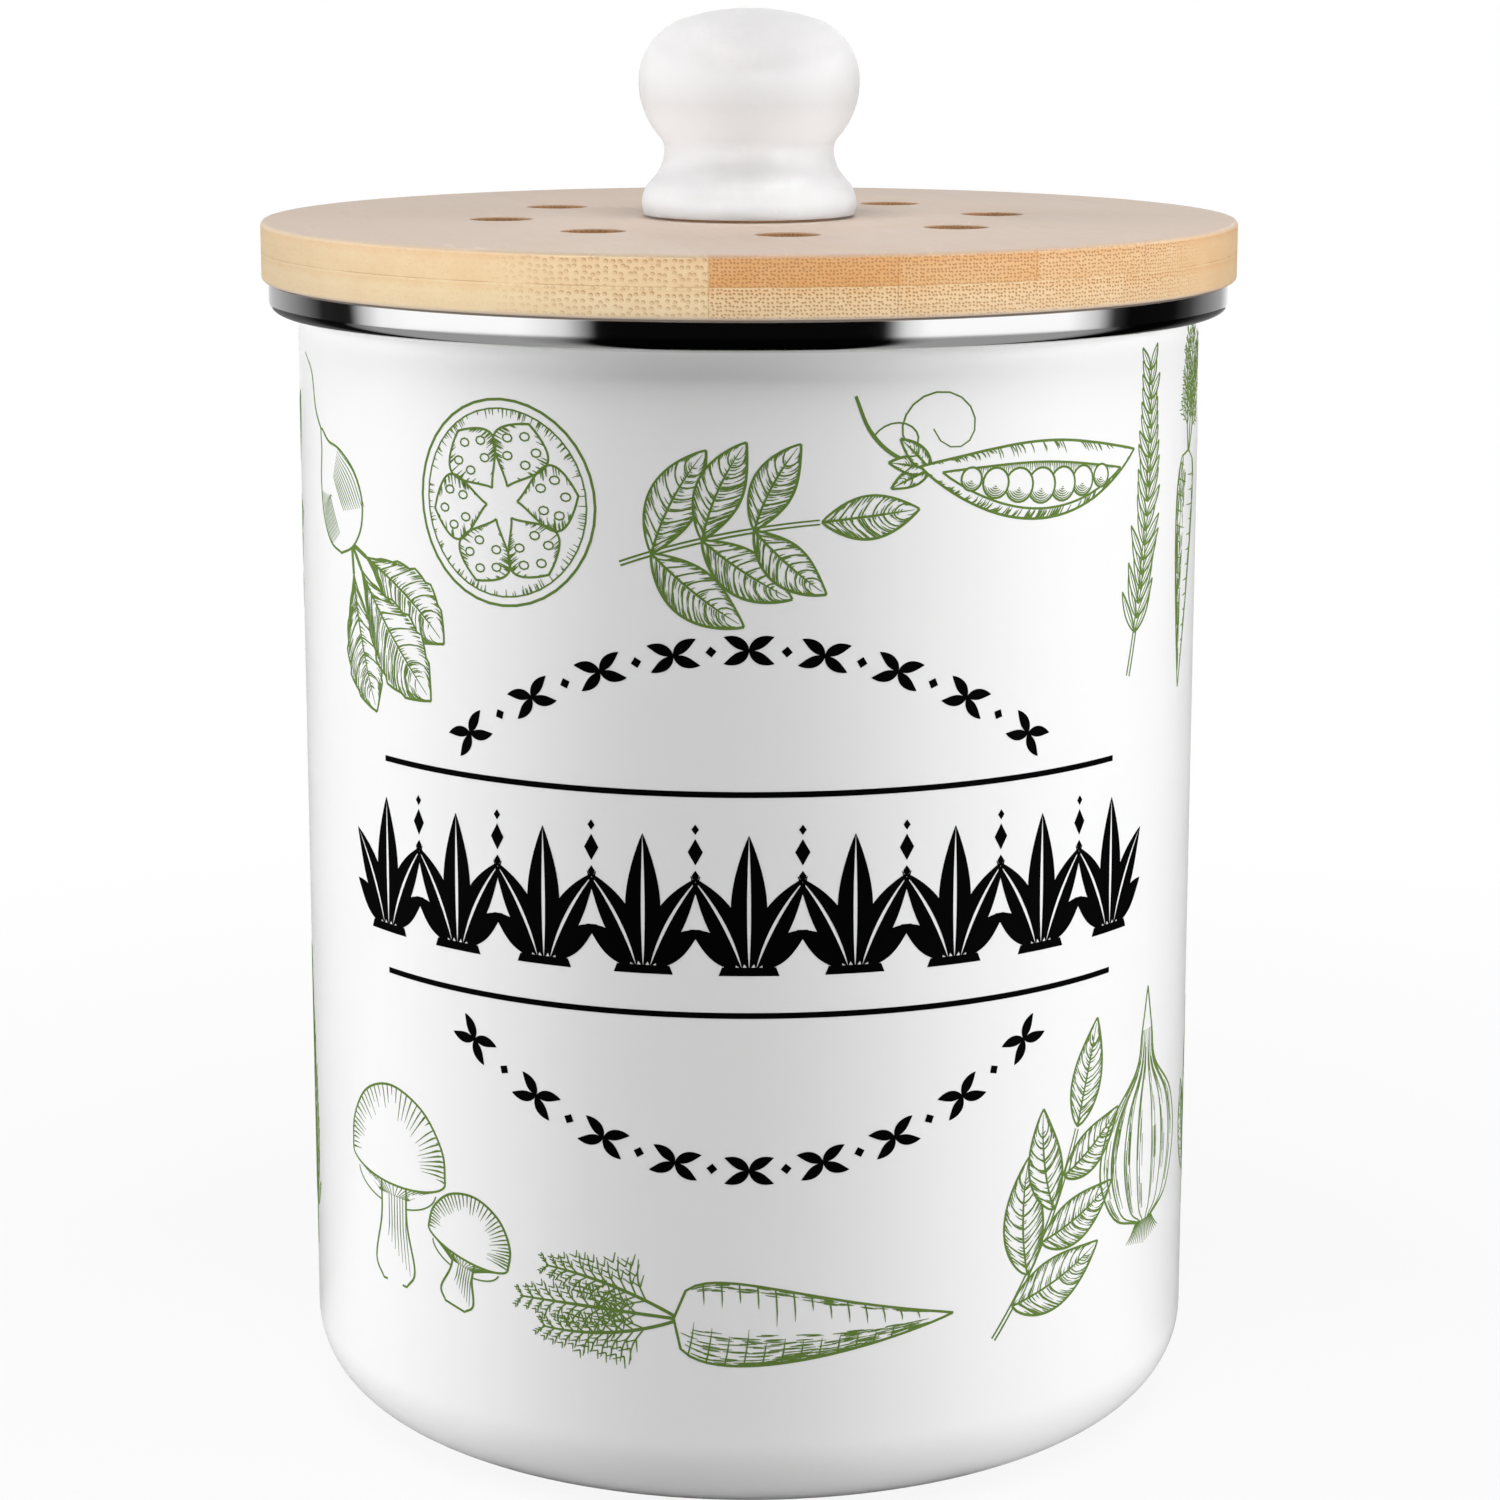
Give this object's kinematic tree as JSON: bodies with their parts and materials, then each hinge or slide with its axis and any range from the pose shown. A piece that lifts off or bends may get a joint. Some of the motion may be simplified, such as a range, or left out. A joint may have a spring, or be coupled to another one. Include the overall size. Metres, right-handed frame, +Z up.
{
  "type": "compost caddy",
  "caption": "Countertop compost caddy: round enamelled steel can with a stainless rim and a lift-off bamboo lid with vent holes, a ceramic knob and a charcoal filter held by turning clips.",
  "frame": {"origin": "middle of the can's base, on the surface that it stands on", "axes": "+Z up along the can's axis, -Y towards the front, +X to the right seen from the front"},
  "size_m": [0.18, 0.18, 0.2603],
  "materials": {
    "enamel": "glossy white vitreous enamel on steel",
    "stainless": "mirror-polished stainless steel",
    "bamboo": "oiled laminated bamboo",
    "silicone": "translucent grey silicone",
    "glazed_knob": "glossy white glaze",
    "brass": "turned brass",
    "charcoal_felt": "black activated-charcoal felt"
  },
  "bodies": {
    "can": {"enamel_body": "enamel", "rim_band": "stainless"},
    "lid": {"lid_top_ply": "bamboo", "lid_bottom_ply": "bamboo", "lid_plug_ring": "bamboo", "lid_seal": "silicone", "knob": "glazed_knob", "knob_gasket": "silicone", "knob_insert": "brass", "knob_screw": "stainless", "knob_washer": "stainless", "charcoal_filter": "charcoal_felt", "clip_screw_1": "stainless", "clip_screw_2": "stainless", "clip_screw_3": "stainless", "clip_screw_4": "stainless"},
    "clip_1": {"filter_clip_1": "stainless"},
    "clip_2": {"filter_clip_2": "stainless"},
    "clip_3": {"filter_clip_3": "stainless"},
    "clip_4": {"filter_clip_4": "stainless"}
  },
  "joints": [
    {"name": "lid_lift", "type": "slide", "parent": "can", "child": "lid", "axis": [0, 0, 1], "range_m": [0, 0.2]},
    {"name": "clip_1_turn", "type": "hinge", "parent": "lid", "child": "clip_1", "pos_m": [0.05946, 0.03559, 0.201], "axis": [0, 0, 1], "range_deg": [-90, 90]},
    {"name": "clip_2_turn", "type": "hinge", "parent": "lid", "child": "clip_2", "pos_m": [-0.03559, 0.05946, 0.201], "axis": [0, 0, 1], "range_deg": [-90, 90]},
    {"name": "clip_3_turn", "type": "hinge", "parent": "lid", "child": "clip_3", "pos_m": [-0.05946, -0.03559, 0.201], "axis": [0, 0, 1], "range_deg": [-90, 90]},
    {"name": "clip_4_turn", "type": "hinge", "parent": "lid", "child": "clip_4", "pos_m": [0.03559, -0.05946, 0.201], "axis": [0, 0, 1], "range_deg": [-90, 90]}
  ]
}
